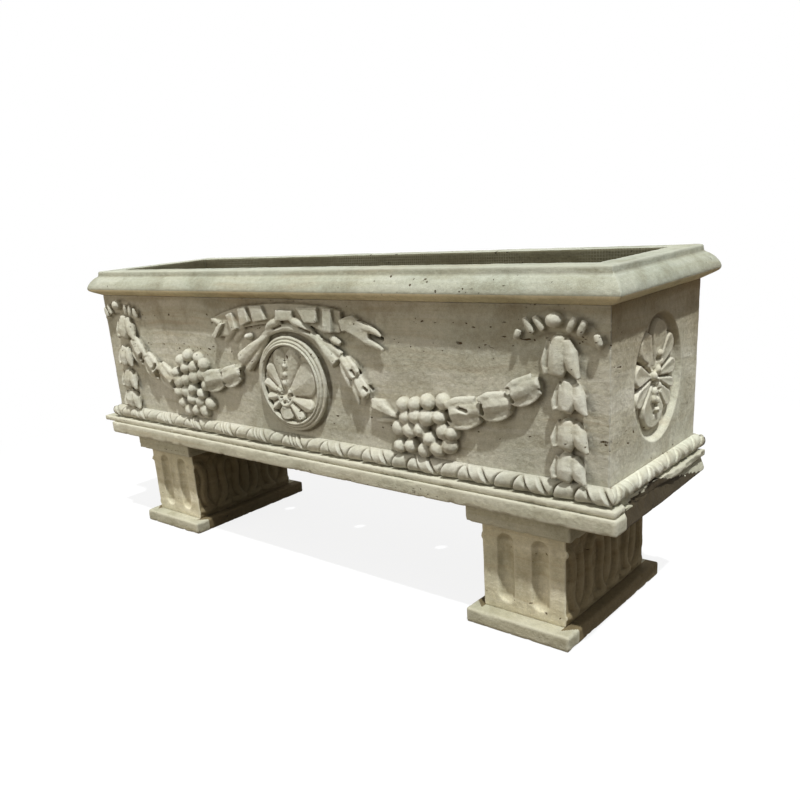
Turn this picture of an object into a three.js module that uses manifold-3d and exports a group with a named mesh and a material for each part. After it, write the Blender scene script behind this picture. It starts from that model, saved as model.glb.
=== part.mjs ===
import * as THREE from 'three';
import { mergeVertices } from 'three/addons/utils/BufferGeometryUtils.js';
import Module from 'manifold-3d';

const wasm = await Module();
wasm.setup();

// A carved travertine trough on two pedestals, in millimetres, +Z up, with its front face towards -Y.
// The ornament is cut from the wall slabs themselves, so each panel and its relief are one stone.

// Trough box, over the outer faces of the wall slabs
const boxLength = 1200;
const boxDepth = 300;
const wallThickness = 30;
const wallHeight = 275;

// Resin joint between neighbouring stones
const joint = 0.3;

// Rim moulding: cove, rounded nose, fillet and flat top
const rimHeight = 51;
const rimInnerInset = 36;
const coveOverhang = 18;
const coveHeight = 12.5;
const noseOverhang = 23;
const noseTipHeight = 19;
const noseShoulder = 7;
const filletOverhang = 2;
const filletHeight = 11;

// Torus of leaves and ribbons at the foot of the walls
const torusHeight = 29;
const torusOverhang = 16;
const torusPitch = 100;
const torusCarving = 3.5;

// Ledge and plinth slabs under the box, with drain holes
const ledgeThickness = 11;
const ledgeOverhang = 17;
const ledgeLeftOverhang = 54;
const plinthThickness = 25;
const plinthOverhang = 21;
const drainDiameter = 30;
const drainSpacing = 220;

// Pedestals; the inset runs from the end of the box to the middle of each
const pedestalInset = 148;
const pedestalSpacing = boxLength - 2 * pedestalInset;
const baseWidth = 186;
const baseDepth = 326;
const baseHeight = 25;
const shaftWidth = 148;
const shaftDepth = 269;
const shaftHeight = 150;
const capWidth = 184;
const capDepth = 312;
const capHeight = 30;

// Flutes on the front and back of each shaft
const fluteWidth = 32;
const fluteDepth = 10;
const fluteSpacing = 62;
const fluteEndMargin = 15;

// Carving, with the depth that its solids are rooted in the slab
const reliefDepth = 20;
const reliefRoot = 6;
const medallionRadius = 89;
const medallionDepth = 18;
const medallionBorder = 26;
const medallionHollow = 8;
const recessHalfWidth = 83;
const recessHalfHeight = 95;
const recessDepth = 8;
const berryDiameter = 22;
const ribbonWidth = 17;
const knobDiameter = 20;
const scrollDepth = 10;

// Heights of the beds, from the ground up
const shaftBottom = baseHeight + joint;
const capBottom = shaftBottom + shaftHeight + joint;
const plinthBottom = capBottom + capHeight + joint;
const ledgeBottom = plinthBottom + plinthThickness + joint;
const wallBottom = ledgeBottom + ledgeThickness + joint;
const rimBottom = wallBottom + wallHeight + joint;

// Sides of the box: the turn about Z, half the outer length and the distance of the face from the middle
const sides = {
  front: { turn: 0, halfLength: boxLength / 2, offset: boxDepth / 2 },
  right_end: { turn: Math.PI / 2, halfLength: boxDepth / 2, offset: boxLength / 2 },
  back: { turn: Math.PI, halfLength: boxLength / 2, offset: boxDepth / 2 },
  left_end: { turn: -Math.PI / 2, halfLength: boxDepth / 2, offset: boxLength / 2 },
};

const travertine = () => new THREE.MeshStandardMaterial({ color: 0xb9b5a0, roughness: 0.85, metalness: 0 });

// Solids

function toManifold(geometry) {
  const plain = geometry.clone();
  plain.deleteAttribute('normal');
  plain.deleteAttribute('uv');
  const merged = mergeVertices(plain);
  const index = merged.index.array;
  const triangles = [];
  for (let i = 0; i < index.length; i += 3) {
    const [a, b, c] = [index[i], index[i + 1], index[i + 2]];
    if (a !== b && b !== c && c !== a) {
      triangles.push(a, b, c);
    }
  }
  const vertProperties = new Float32Array(merged.attributes.position.array);
  const triVerts = new Uint32Array(triangles);
  return new wasm.Manifold(new wasm.Mesh({ numProp: 3, vertProperties, triVerts }));
}

function toGeometry(manifold) {
  const mesh = manifold.getMesh();
  const geometry = new THREE.BufferGeometry();
  geometry.setAttribute('position', new THREE.BufferAttribute(mesh.vertProperties, 3));
  geometry.setIndex(new THREE.BufferAttribute(mesh.triVerts, 1));
  geometry.computeVertexNormals();
  return geometry;
}

function joined(geometries) {
  return geometries.map(toManifold).reduce((whole, part) => whole.add(part));
}

function stone(name, geometry) {
  const mesh = new THREE.Mesh(geometry, travertine());
  mesh.name = name;
  return mesh;
}

function surface(positions, indices) {
  const geometry = new THREE.BufferGeometry();
  geometry.setAttribute('position', new THREE.Float32BufferAttribute(positions, 3));
  geometry.setIndex(indices);
  geometry.computeVertexNormals();
  return geometry;
}

// Bar of one side of the box: the section runs outwards and upwards, both ends are cut at 45 degrees,
// and four such bars close the rectangle
function mitredBar(section, halfLength) {
  const count = section.length;
  const positions = [];
  for (const end of [-1, 1]) {
    for (const point of section) {
      positions.push(end * (halfLength + point.x - joint / Math.SQRT2), point.y, point.x);
    }
  }
  const indices = [];
  for (let i = 0; i < count; i += 1) {
    const next = (i + 1) % count;
    indices.push(i, count + i, next);
    indices.push(next, count + i, count + next);
  }
  for (const [a, b, c] of THREE.ShapeUtils.triangulateShape(section, [])) {
    indices.push(a, b, c);
    indices.push(count + c, count + b, count + a);
  }
  return surface(positions, indices);
}

// Sections of a carved blade, from edge to edge over the crest, as shares of its half width and depth
const roundSectionShares = [[1, 0], [0.6, 0.8], [-0.6, 0.8], [-1, 0]];
const ribbedSectionShares = [[1, 0], [0, 1], [-1, 0]];
const flatSectionShares = [[1, 0], [0.85, 1], [-0.85, 1], [-1, 0]];

// Widths and depths along a carved blade, as shares of its full width and depth
const evenShares = [1, 1];
const leafWidthShares = [0.5, 1, 0.9, 0.1];
const leafDepthShares = [0.7, 1, 0.9, 0.4];
const hornWidthShares = [0.3, 0.6, 1, 0.9, 0.3];
const hornDepthShares = [0.7, 0.85, 1, 1, 0.5];

function shareAt(shares, t) {
  const place = t * (shares.length - 1);
  const low = Math.min(Math.floor(place), shares.length - 2);
  return THREE.MathUtils.lerp(shares[low], shares[low + 1], place - low);
}

// Blade that follows a curve on a face; its edges are rooted below that face
function blade({ path, width, depth, widthShares, depthShares, section, floor = 0 }) {
  const spine = new THREE.CatmullRomCurve3(path.map(([x, y]) => new THREE.Vector3(x, y, 0)));
  const rings = Math.max(widthShares.length, depthShares.length);
  const count = section.length;
  const positions = [];
  for (let i = 0; i < rings; i += 1) {
    const t = i / (rings - 1);
    const centre = spine.getPoint(t);
    const along = spine.getTangent(t);
    const half = width * shareAt(widthShares, t) / 2;
    const crest = depth * shareAt(depthShares, t);
    for (const [across, up] of section) {
      const z = up === 0 ? floor - reliefRoot : floor + crest * up;
      positions.push(centre.x - along.y * half * across, centre.y + along.x * half * across, z);
    }
  }
  const indices = [];
  for (let i = 0; i < rings - 1; i += 1) {
    for (let k = 0; k < count; k += 1) {
      const a = i * count + k;
      const b = i * count + (k + 1) % count;
      indices.push(a, b, a + count);
      indices.push(b, b + count, a + count);
    }
  }
  const last = (rings - 1) * count;
  for (let k = 1; k < count - 1; k += 1) {
    indices.push(0, k + 1, k);
    indices.push(last, last + k, last + k + 1);
  }
  return surface(positions, indices);
}

function leaf(from, to, width, depth, floor = 0) {
  return blade({
    path: [from, to], width, depth, floor,
    widthShares: leafWidthShares, depthShares: leafDepthShares, section: ribbedSectionShares,
  });
}

// Domed boss; its widest ring lies a little under the face
function boss(x, y, width, height, depth, floor = 0) {
  const sunkShare = 0.12;
  const geometry = new THREE.SphereGeometry(1, 7, 4);
  geometry.rotateX(Math.PI / 2);
  geometry.scale(width / 2, height / 2, depth * (1 + sunkShare));
  geometry.translate(x, y, floor - depth * sunkShare);
  return geometry;
}

// Rosettes

function rosette({ x, y, halfWidth, halfHeight, petals, depth, floor }) {
  const eyeShare = 0.27;
  const rootShare = 0.12;
  const tipShare = 0.94;
  const petalShare = 0.6;
  const parts = [boss(x, y, 2 * eyeShare * halfWidth, 2 * eyeShare * halfHeight, depth, floor)];
  for (let i = 0; i < petals; i += 1) {
    const angle = (i + 0.5) / petals * 2 * Math.PI;
    const [dx, dy] = [Math.cos(angle) * halfWidth, Math.sin(angle) * halfHeight];
    const root = [x + dx * rootShare, y + dy * rootShare];
    const tip = [x + dx * tipShare, y + dy * tipShare];
    parts.push(leaf(root, tip, petalShare * halfWidth, depth, floor));
  }
  return parts;
}

// Disc with three rings round a sunk rosette
function medallion(x, y) {
  const rings = 3;
  const ring = medallionBorder / (rings + 1);
  const profile = [
    [0, -reliefRoot], [medallionRadius, -reliefRoot], [medallionRadius, medallionDepth - ring],
  ];
  for (let i = 0; i < rings; i += 1) {
    const edge = medallionRadius - i * ring;
    profile.push([edge - ring / 3, medallionDepth]);
    profile.push([edge - ring, medallionDepth - ring / 2]);
  }
  const hollow = medallionRadius - medallionBorder;
  profile.push([hollow, medallionHollow]);
  profile.push([0, medallionHollow]);
  const points = profile.map(([radius, height]) => new THREE.Vector2(radius, height));
  const disc = new THREE.LatheGeometry(points, 32);
  disc.rotateX(Math.PI / 2);
  disc.translate(x, y, 0);
  const depth = medallionDepth - medallionHollow;
  const halves = { halfWidth: hollow, halfHeight: hollow };
  return [disc, ...rosette({ x, y, ...halves, petals: 8, depth, floor: medallionHollow })];
}

// Garland pieces

// Bud with a round body and three petal tips; it hangs along the turn, measured from straight down
function husk([x, y], turn, width, height) {
  const bodyShare = 0.86;
  const rootShare = 0.42;
  const tipShare = 0.56;
  const petalShare = 0.5;
  const petalDepthShare = 0.92;
  const parts = [boss(x, y, width * bodyShare, height * bodyShare, reliefDepth)];
  for (const lean of [-Math.PI / 8, 0, Math.PI / 8]) {
    const [dx, dy] = [Math.sin(turn + lean) * height, -Math.cos(turn + lean) * height];
    const root = [x - dx * rootShare, y - dy * rootShare];
    const tip = [x + dx * tipShare, y + dy * tipShare];
    parts.push(leaf(root, tip, width * petalShare, reliefDepth * petalDepthShare));
  }
  return parts;
}

// Bunch of berries in staggered rows
function bunch([x, y], rowCounts) {
  const packingShare = 1.07;
  const fallShare = 0.3;
  const pitch = berryDiameter * packingShare;
  const rise = pitch * Math.sqrt(3) / 2;
  const reach = rowCounts.length * rise / 2;
  const parts = [];
  rowCounts.forEach((count, row) => {
    const dy = ((rowCounts.length - 1) / 2 - row) * rise;
    for (let i = 0; i < count; i += 1) {
      const dx = (i - (count - 1) / 2) * pitch;
      const depth = reliefDepth * (1 - fallShare * Math.hypot(dx, dy) / reach);
      parts.push(boss(x + dx, y + dy, berryDiameter, berryDiameter, depth));
    }
  });
  return parts;
}

function horn(path, width) {
  return blade({
    path, width, depth: reliefDepth,
    widthShares: hornWidthShares, depthShares: hornDepthShares, section: roundSectionShares,
  });
}

// Folds of a ribbon, each a ridge that leans from its top
function folds(places, length) {
  const fallShares = [0.8, 0.75, 0.4];
  return places.map(([x, y, lean]) => {
    const [dx, dy] = [Math.sin(lean) * length / 2, -Math.cos(lean) * length / 2];
    return blade({
      path: [[x - dx, y - dy], [x + dx, y + dy]], width: ribbonWidth, depth: reliefDepth,
      widthShares: evenShares, depthShares: fallShares, section: roundSectionShares,
    });
  });
}

// Place on the front panel, as shares of half its length and of its height
function at([lengthShare, heightShare]) {
  return [lengthShare * boxLength / 2, heightShare * wallHeight];
}

// Bow over the medallion. Each fold has its place and its lean, as a share of a half turn
const knotPlaceShares = [0, 0.91];
const knotSizeShares = [2, 1.3];
const wreathPathShares = [[-0.11, 0.76], [-0.06, 0.85], [0, 0.87], [0.06, 0.85], [0.11, 0.76]];
const wreathWidthShares = [0.7, 1, 0.8, 1, 0.8, 1, 0.7];
const bowFoldLengthShare = 2.4;
const bowFoldShares = [
  [-0.12, 0.9, 0], [-0.18, 0.89, -0.03], [-0.25, 0.84, -0.08], [-0.32, 0.77, -0.19],
  [0.06, 0.91, 0], [0.11, 0.9, 0.02], [0.16, 0.88, 0.04],
];
const tailWidthShare = 1.4;
const tailPathShares = [
  [[0.14, 0.9], [0.25, 0.86], [0.35, 0.81]],
  [[0.14, 0.82], [0.25, 0.8], [0.34, 0.74]],
  [[-0.2, 0.79], [-0.27, 0.73], [-0.34, 0.66]],
];

function foldPlace([lengthShare, heightShare, leanShare]) {
  return [...at([lengthShare, heightShare]), leanShare * Math.PI];
}

function bow() {
  const [widthShare, heightShare] = knotSizeShares;
  const knot = boss(...at(knotPlaceShares), widthShare * ribbonWidth, heightShare * ribbonWidth, reliefDepth);
  const wreath = blade({
    path: wreathPathShares.map(at), width: ribbonWidth, depth: reliefDepth,
    widthShares: wreathWidthShares, depthShares: evenShares, section: roundSectionShares,
  });
  const tails = tailPathShares.map((path) => blade({
    path: path.map(at), width: tailWidthShare * ribbonWidth, depth: reliefDepth / 2,
    widthShares: leafWidthShares, depthShares: leafDepthShares, section: flatSectionShares,
  }));
  return [knot, wreath, ...folds(bowFoldShares.map(foldPlace), bowFoldLengthShare * ribbonWidth), ...tails];
}

// Vertical drop of husks under a knob and a fan of folds. Each husk has its height on the wall and its own
// height, as shares of the wall's
const dropHuskShares = [[0.745, 0.23], [0.545, 0.175], [0.355, 0.17], [0.18, 0.145]];
const dropWidthShare = 0.18;
const fanShares = [[-0.075, 0.9, -0.16], [-0.045, 0.93, -0.06], [0.04, 0.93, 0.06], [0.075, 0.9, 0.16]];
const fanFoldLengthShare = 1.5;
const knobHeightShare = 0.935;

function drop(lengthShare) {
  const [x, y] = at([lengthShare, knobHeightShare]);
  const knob = boss(x, y, knobDiameter, knobDiameter, reliefDepth);
  const places = fanShares.map(([along, up, lean]) => foldPlace([lengthShare + along, up, lean]));
  const husks = dropHuskShares.flatMap(([up, heightShare]) => (
    husk(at([lengthShare, up]), 0, dropWidthShare * wallHeight, heightShare * wallHeight)
  ));
  return [knob, ...folds(places, fanFoldLengthShare * ribbonWidth), ...husks];
}

// The two swags hang between the medallion and the drops, and differ as the hand cut them. Each husk has its
// place, its turn as a share of a half turn, and its width and height as shares of the wall's height
const hornWidthShare = 2;
const swags = {
  left: {
    hornShares: [[-0.1, 0.76], [-0.13, 0.73], [-0.17, 0.66], [-0.22, 0.58], [-0.25, 0.54]],
    huskShares: [
      [-0.28, 0.48, -0.35, 0.16, 0.18], [-0.37, 0.375, -0.41, 0.19, 0.2],
      [-0.653, 0.41, 0.3, 0.16, 0.22], [-0.73, 0.475, 0.27, 0.16, 0.22], [-0.805, 0.58, 0.24, 0.165, 0.2],
    ],
    leafShares: [],
    bunchShares: [-0.51, 0.37],
    berries: [4, 4, 4, 4, 4, 3],
  },
  right: {
    hornShares: [[0.11, 0.78], [0.16, 0.73], [0.21, 0.65], [0.27, 0.54], [0.32, 0.44]],
    huskShares: [
      [0.62, 0.405, -0.43, 0.2, 0.23], [0.71, 0.46, -0.43, 0.18, 0.2], [0.793, 0.565, -0.32, 0.175, 0.2],
    ],
    leafShares: [[0.3, 0.42], [0.405, 0.32]],
    bunchShares: [0.485, 0.335],
    berries: [2, 4, 4, 6, 5],
  },
};

function swag({ hornShares, huskShares, leafShares, bunchShares, berries }) {
  const husks = huskShares.flatMap(([along, up, turnShare, widthShare, heightShare]) => (
    husk(at([along, up]), turnShare * Math.PI, widthShare * wallHeight, heightShare * wallHeight)
  ));
  const width = hornWidthShare * ribbonWidth;
  const leaves = leafShares.length ? [leaf(...leafShares.map(at), width, reliefDepth)] : [];
  return [horn(hornShares.map(at), width), ...husks, ...leaves, ...bunch(at(bunchShares), berries)];
}

// Wall panels

function wallSection() {
  return [
    new THREE.Vector2(-wallThickness, 0),
    new THREE.Vector2(0, 0),
    new THREE.Vector2(0, wallHeight),
    new THREE.Vector2(-wallThickness, wallHeight),
  ];
}

// Field of a panel that the torus and the rim leave free
function field(halfLength) {
  const bottom = torusHeight + 2 * joint;
  const length = 2 * halfLength - 2 * joint;
  const geometry = new THREE.BoxGeometry(length, wallHeight - bottom, 2 * reliefDepth + reliefRoot);
  geometry.translate(0, (wallHeight + bottom) / 2, reliefDepth - reliefRoot / 2);
  return toManifold(geometry);
}

const medallionPlaceShares = [0, 0.43];
const dropPlaceShare = 0.89;

function frontPanel() {
  const { halfLength } = sides.front;
  const carving = [
    ...medallion(...at(medallionPlaceShares)), ...bow(),
    ...drop(-dropPlaceShare), ...drop(dropPlaceShare), ...swag(swags.left), ...swag(swags.right),
  ];
  return toManifold(mitredBar(wallSection(), halfLength)).add(joined(carving).intersect(field(halfLength)));
}

// End panel with an oval recess whose rosette stands no higher than the face
function endPanel() {
  const placeShare = 0.55;
  const [x, y] = [0, placeShare * wallHeight];
  const { halfLength } = sides.right_end;
  const cutter = new THREE.CylinderGeometry(1, 1, 2 * recessDepth, 32);
  cutter.rotateX(Math.PI / 2);
  cutter.scale(recessHalfWidth, recessHalfHeight, 1);
  cutter.translate(x, y, 0);
  const halves = { halfWidth: recessHalfWidth, halfHeight: recessHalfHeight };
  const flower = rosette({ x, y, ...halves, petals: 8, depth: recessDepth, floor: -recessDepth });
  return toManifold(mitredBar(wallSection(), halfLength)).subtract(toManifold(cutter)).add(joined(flower));
}

function backPanel() {
  return toManifold(mitredBar(wallSection(), sides.back.halfLength));
}

// Rim

function rimSection() {
  const steps = 8;
  const path = new THREE.Path();
  path.moveTo(-rimInnerInset, 0);
  path.lineTo(0, 0);
  path.lineTo(coveOverhang, coveHeight);
  path.quadraticCurveTo(noseOverhang, coveHeight, noseOverhang, noseTipHeight);
  const shoulder = rimHeight - filletHeight;
  path.quadraticCurveTo(noseOverhang - noseShoulder, shoulder - noseShoulder, filletOverhang, shoulder);
  path.lineTo(filletOverhang, rimHeight);
  path.lineTo(-rimInnerInset, rimHeight);
  return path.getPoints(steps);
}

// Torus

// Carving along one pitch of the torus, as shares of the pitch and of the carving depth:
// two ribbons, then two leaves that overlap like tiles
const torusStationShares = [
  [0, 0], [0.06, 1], [0.12, 0], [0.24, 0], [0.3, 1], [0.36, 0.1], [0.66, 0.9], [0.68, 0.1], [0.98, 0.9],
];
const torusSlantShare = 0.55;

// Rows of points round the torus, from its foot to its top, one for each carved station
function torusRow(x, height) {
  const steps = 5;
  const reach = torusOverhang - joint - torusCarving * (1 - height);
  const row = [];
  for (let i = 0; i <= steps; i += 1) {
    const t = i / steps;
    const angle = (t - 0.5) * Math.PI;
    const slant = torusHeight * torusSlantShare * (0.5 - t);
    row.push(x + slant, torusHeight * (1 + Math.sin(angle)) / 2, joint + reach * Math.cos(angle));
  }
  return row;
}

function torusStrip(halfLength) {
  const pitches = Math.round(2 * halfLength / torusPitch) + 2;
  const start = -pitches * torusPitch / 2;
  const rows = [];
  for (let i = 0; i < pitches; i += 1) {
    for (const [along, height] of torusStationShares) {
      rows.push(torusRow(start + (i + along) * torusPitch, height));
    }
  }
  const count = rows[0].length / 3;
  const indices = [];
  for (let i = 0; i < rows.length - 1; i += 1) {
    for (let k = 0; k < count; k += 1) {
      const a = i * count + k;
      const b = i * count + (k + 1) % count;
      indices.push(a, a + count, b);
      indices.push(b, a + count, b + count);
    }
  }
  const last = (rows.length - 1) * count;
  for (let k = 1; k < count - 1; k += 1) {
    indices.push(0, k, k + 1);
    indices.push(last, last + k + 1, last + k);
  }
  const envelope = [
    new THREE.Vector2(joint, 0),
    new THREE.Vector2(torusOverhang, 0),
    new THREE.Vector2(torusOverhang, torusHeight),
    new THREE.Vector2(joint, torusHeight),
  ];
  return toManifold(surface(rows.flat(), indices)).intersect(toManifold(mitredBar(envelope, halfLength)));
}

// Slabs under the box

// Slab over the given reaches from the middle of the box, with a row of drain holes
function drainedSlab(left, right, halfDepth, thickness) {
  const plate = new THREE.BoxGeometry(left + right, 2 * halfDepth, thickness);
  plate.translate((right - left) / 2, 0, thickness / 2);
  let slab = toManifold(plate);
  for (const place of [-1, 0, 1]) {
    const hole = new THREE.CylinderGeometry(drainDiameter / 2, drainDiameter / 2, 2 * thickness, 16);
    hole.rotateX(Math.PI / 2);
    hole.translate(place * drainSpacing, 0, thickness / 2);
    slab = slab.subtract(toManifold(hole));
  }
  return toGeometry(slab);
}

// Pedestals

function block(width, depth, height) {
  const geometry = new THREE.BoxGeometry(width, depth, height);
  geometry.translate(0, 0, height / 2);
  return geometry;
}

// Round-ended cutter whose cap leaves a flute of the stated width and depth
function fluteCutter() {
  const radius = (fluteWidth * fluteWidth / 4 + fluteDepth * fluteDepth) / (2 * fluteDepth);
  const straight = shaftHeight - 2 * fluteEndMargin - fluteWidth;
  const cutter = new THREE.CapsuleGeometry(radius, straight, 3, 14);
  cutter.translate(0, shaftHeight / 2, radius - fluteDepth);
  return toManifold(cutter);
}

// Palmettes on the end of a shaft, each a middle leaf between two that curl over; the shares are of the
// pitch across and of the shaft's height
const palmetteCount = 3;
const middleLeafShares = [0.08, 0.86];
const middleLeafWidthShare = 0.36;
const curlPathShares = [[0.1, 0.1], [0.34, 0.4], [0.4, 0.72], [0.28, 0.9], [0.14, 0.8]];
const curlWidthShare = 0.26;

function palmettes() {
  const pitch = shaftDepth / palmetteCount;
  const parts = [];
  for (let i = 0; i < palmetteCount; i += 1) {
    const x = (i - (palmetteCount - 1) / 2) * pitch;
    const [root, tip] = middleLeafShares.map((share) => [x, share * shaftHeight]);
    parts.push(leaf(root, tip, pitch * middleLeafWidthShare, scrollDepth));
    for (const hand of [-1, 1]) {
      parts.push(blade({
        path: curlPathShares.map(([across, up]) => [x + hand * across * pitch, up * shaftHeight]),
        width: pitch * curlWidthShare, depth: scrollDepth,
        widthShares: hornWidthShares, depthShares: hornDepthShares, section: ribbedSectionShares,
      }));
    }
  }
  return joined(parts);
}

function shaft() {
  let body = toManifold(block(shaftWidth, shaftDepth, shaftHeight));
  const upright = new THREE.Matrix4().makeRotationX(Math.PI / 2);
  for (const turn of [0, Math.PI]) {
    for (const place of [-1, 1]) {
      const cutter = toGeometry(fluteCutter());
      cutter.translate(place * fluteSpacing / 2, 0, shaftDepth / 2);
      cutter.applyMatrix4(upright);
      cutter.rotateZ(turn);
      body = body.subtract(toManifold(cutter));
    }
  }
  for (const turn of [Math.PI / 2, -Math.PI / 2]) {
    const carving = toGeometry(palmettes());
    carving.translate(0, 0, shaftWidth / 2);
    carving.applyMatrix4(upright);
    carving.rotateZ(turn);
    body = body.add(toManifold(carving));
  }
  return toGeometry(body);
}

// Assembly

// Pieces of one side are modelled with x along the face, y up and z outwards
function sideOfBox({ turn, offset }, pieces) {
  const group = new THREE.Group();
  group.rotation.z = turn;
  for (const [name, manifold, bottom] of pieces) {
    const mesh = stone(name, toGeometry(manifold));
    mesh.rotation.x = Math.PI / 2;
    mesh.position.set(0, -offset, bottom);
    group.add(mesh);
  }
  return group;
}

const panels = { front: frontPanel, right_end: endPanel, back: backPanel, left_end: endPanel };

// The origin is under the middle of the whole, which the long left reach of the ledge puts off the box's
// own middle
const trough = new THREE.Group();
trough.position.x = (ledgeLeftOverhang - noseOverhang) / 2;

for (const [name, side] of Object.entries(sides)) {
  trough.add(sideOfBox(side, [
    [`${name}_panel`, panels[name](), wallBottom],
    [`${name}_rim`, toManifold(mitredBar(rimSection(), side.halfLength)), rimBottom],
    [`${name}_torus`, torusStrip(side.halfLength), wallBottom],
  ]));
}

const [halfLong, halfDeep] = [boxLength / 2, boxDepth / 2];
const ledge = stone('ledge_slab', drainedSlab(
  halfLong + ledgeLeftOverhang, halfLong + ledgeOverhang, halfDeep + ledgeOverhang, ledgeThickness,
));
ledge.position.z = ledgeBottom;
const plinth = stone('plinth_slab', drainedSlab(
  halfLong + plinthOverhang, halfLong + plinthOverhang, halfDeep + plinthOverhang, plinthThickness,
));
plinth.position.z = plinthBottom;
trough.add(ledge, plinth);

for (const [hand, place] of [['left', -1], ['right', 1]]) {
  const pedestal = new THREE.Group();
  pedestal.position.x = place * pedestalSpacing / 2;
  const base = stone(`${hand}_pedestal_base`, block(baseWidth, baseDepth, baseHeight));
  const column = stone(`${hand}_pedestal_shaft`, shaft());
  column.position.z = shaftBottom;
  const cap = stone(`${hand}_pedestal_cap`, block(capWidth, capDepth, capHeight));
  cap.position.z = capBottom;
  pedestal.add(base, column, cap);
  trough.add(pedestal);
}

export default trough;
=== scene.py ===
import math
import random

import bpy
import numpy as np
from mathutils import Matrix, Vector, noise


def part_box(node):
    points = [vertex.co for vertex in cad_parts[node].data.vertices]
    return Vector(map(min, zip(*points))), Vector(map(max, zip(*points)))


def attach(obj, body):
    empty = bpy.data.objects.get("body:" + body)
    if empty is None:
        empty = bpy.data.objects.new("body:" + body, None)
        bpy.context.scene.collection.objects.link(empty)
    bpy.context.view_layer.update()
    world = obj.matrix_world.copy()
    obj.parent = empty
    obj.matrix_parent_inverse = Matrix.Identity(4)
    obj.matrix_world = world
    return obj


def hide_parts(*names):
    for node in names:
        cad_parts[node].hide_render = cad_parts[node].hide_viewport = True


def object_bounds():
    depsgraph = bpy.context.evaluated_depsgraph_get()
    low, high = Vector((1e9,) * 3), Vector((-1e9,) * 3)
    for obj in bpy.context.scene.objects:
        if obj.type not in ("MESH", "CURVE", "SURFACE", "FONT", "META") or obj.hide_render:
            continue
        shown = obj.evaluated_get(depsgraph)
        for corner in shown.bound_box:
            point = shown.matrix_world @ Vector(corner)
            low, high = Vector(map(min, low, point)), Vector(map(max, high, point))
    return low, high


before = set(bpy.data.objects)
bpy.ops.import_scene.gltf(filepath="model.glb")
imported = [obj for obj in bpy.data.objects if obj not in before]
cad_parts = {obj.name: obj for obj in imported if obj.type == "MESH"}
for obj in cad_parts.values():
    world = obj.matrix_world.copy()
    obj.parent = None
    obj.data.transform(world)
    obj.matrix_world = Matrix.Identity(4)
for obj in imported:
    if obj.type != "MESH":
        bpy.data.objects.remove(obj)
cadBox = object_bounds()
print("frame loaded")

random.seed(11)
mm = 0.001
resinJoint = 0.3  # mm between stones
coarse = 1.0


# Small helpers

def makeActive(obj):
    bpy.ops.object.select_all(action="DESELECT")
    obj.select_set(True)
    bpy.context.view_layer.objects.active = obj


def add(primitive, **settings):  # the new object alone is selected
    bpy.ops.object.select_all(action="DESELECT")
    primitive(**settings)
    return bpy.context.object


def place(obj, matrix):
    obj.data.transform(matrix)
    obj.data.update()


def joinPieces(pieces, name):
    whole = pieces[0]
    makeActive(whole)
    for piece in pieces:
        piece.select_set(True)
    if len(pieces) > 1:
        bpy.ops.object.join()
    whole.name = whole.data.name = name
    return whole


def addModifier(obj, kind, **settings):
    modifier = obj.modifiers.new(kind, kind)
    for key, value in settings.items():
        setattr(modifier, key, value)
    makeActive(obj)
    bpy.ops.object.modifier_apply(modifier=modifier.name)


def cutWith(obj, cutter):
    addModifier(obj, "BOOLEAN", object=cutter, operation="DIFFERENCE")
    bpy.data.objects.remove(cutter)


# Saws off what lies past each plane: a point on it in mm, and the way out of the stone
def saw(obj, planes):
    makeActive(obj)
    bpy.ops.object.mode_set(mode="EDIT")
    for point, normal in planes:
        bpy.ops.mesh.select_all(action="SELECT")
        bpy.ops.mesh.bisect(plane_co=[value * mm for value in point], plane_no=normal, use_fill=True, clear_outer=True)
    bpy.ops.object.mode_set(mode="OBJECT")


def mitres(halfLength):
    cut = halfLength - resinJoint / math.sqrt(2)
    return [((cut, 0, 0), (1, 0, -1)), ((-cut, 0, 0), (-1, 0, -1))]


# The camera stands where the photograph was taken from
cameraPlace = {
    "location": (1.0942, -1.1545, 0.6652),
    "rotation": (71.815, 4.389, 41.299),  # degrees
    "lens": 37.156,
    "shift": (0.0411, 0.0935),
}


def addCamera():
    camera = add(bpy.ops.object.camera_add, location=cameraPlace["location"])
    camera.rotation_euler = [math.radians(angle) for angle in cameraPlace["rotation"]]
    camera.data.lens = cameraPlace["lens"]
    camera.data.shift_x, camera.data.shift_y = cameraPlace["shift"]
    camera.data.clip_start = 0.01
    bpy.context.scene.camera = camera


addCamera()
print("camera placed")


# Colours and nodes

def linear(hexColour):
    channels = [int(hexColour[i:i + 2], 16) / 255 for i in (1, 3, 5)]
    return [c / 12.92 if c <= 0.04045 else ((c + 0.055) / 1.055) ** 2.4 for c in channels] + [1]


def emptyTree(owner):
    owner.use_nodes = True
    owner.node_tree.nodes.clear()
    return owner.node_tree


# Inputs are named, or a list in the node's own order: a Map Range's are value, from both ends, to both ends. Each is
# a value, a socket, or a node whose first output in use is meant.
def addNode(tree, kind, inputs=(), **settings):
    node = tree.nodes.new("ShaderNode" + kind)
    for key, value in settings.items():
        setattr(node, key, value)
    for key, value in inputs.items() if isinstance(inputs, dict) else enumerate(inputs):
        if isinstance(value, bpy.types.Node):
            value = next(output for output in value.outputs if output.enabled)
        if isinstance(value, bpy.types.NodeSocket):
            tree.links.new(value, node.inputs[key])
        else:
            node.inputs[key].default_value = value
    return node


def setStops(node, stops):
    ramp = node.color_ramp
    while len(ramp.elements) < len(stops):
        ramp.elements.new(0.5)
    for element, (position, colour) in zip(ramp.elements, stops):
        element.position = position
        element.color = linear(colour)


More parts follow.
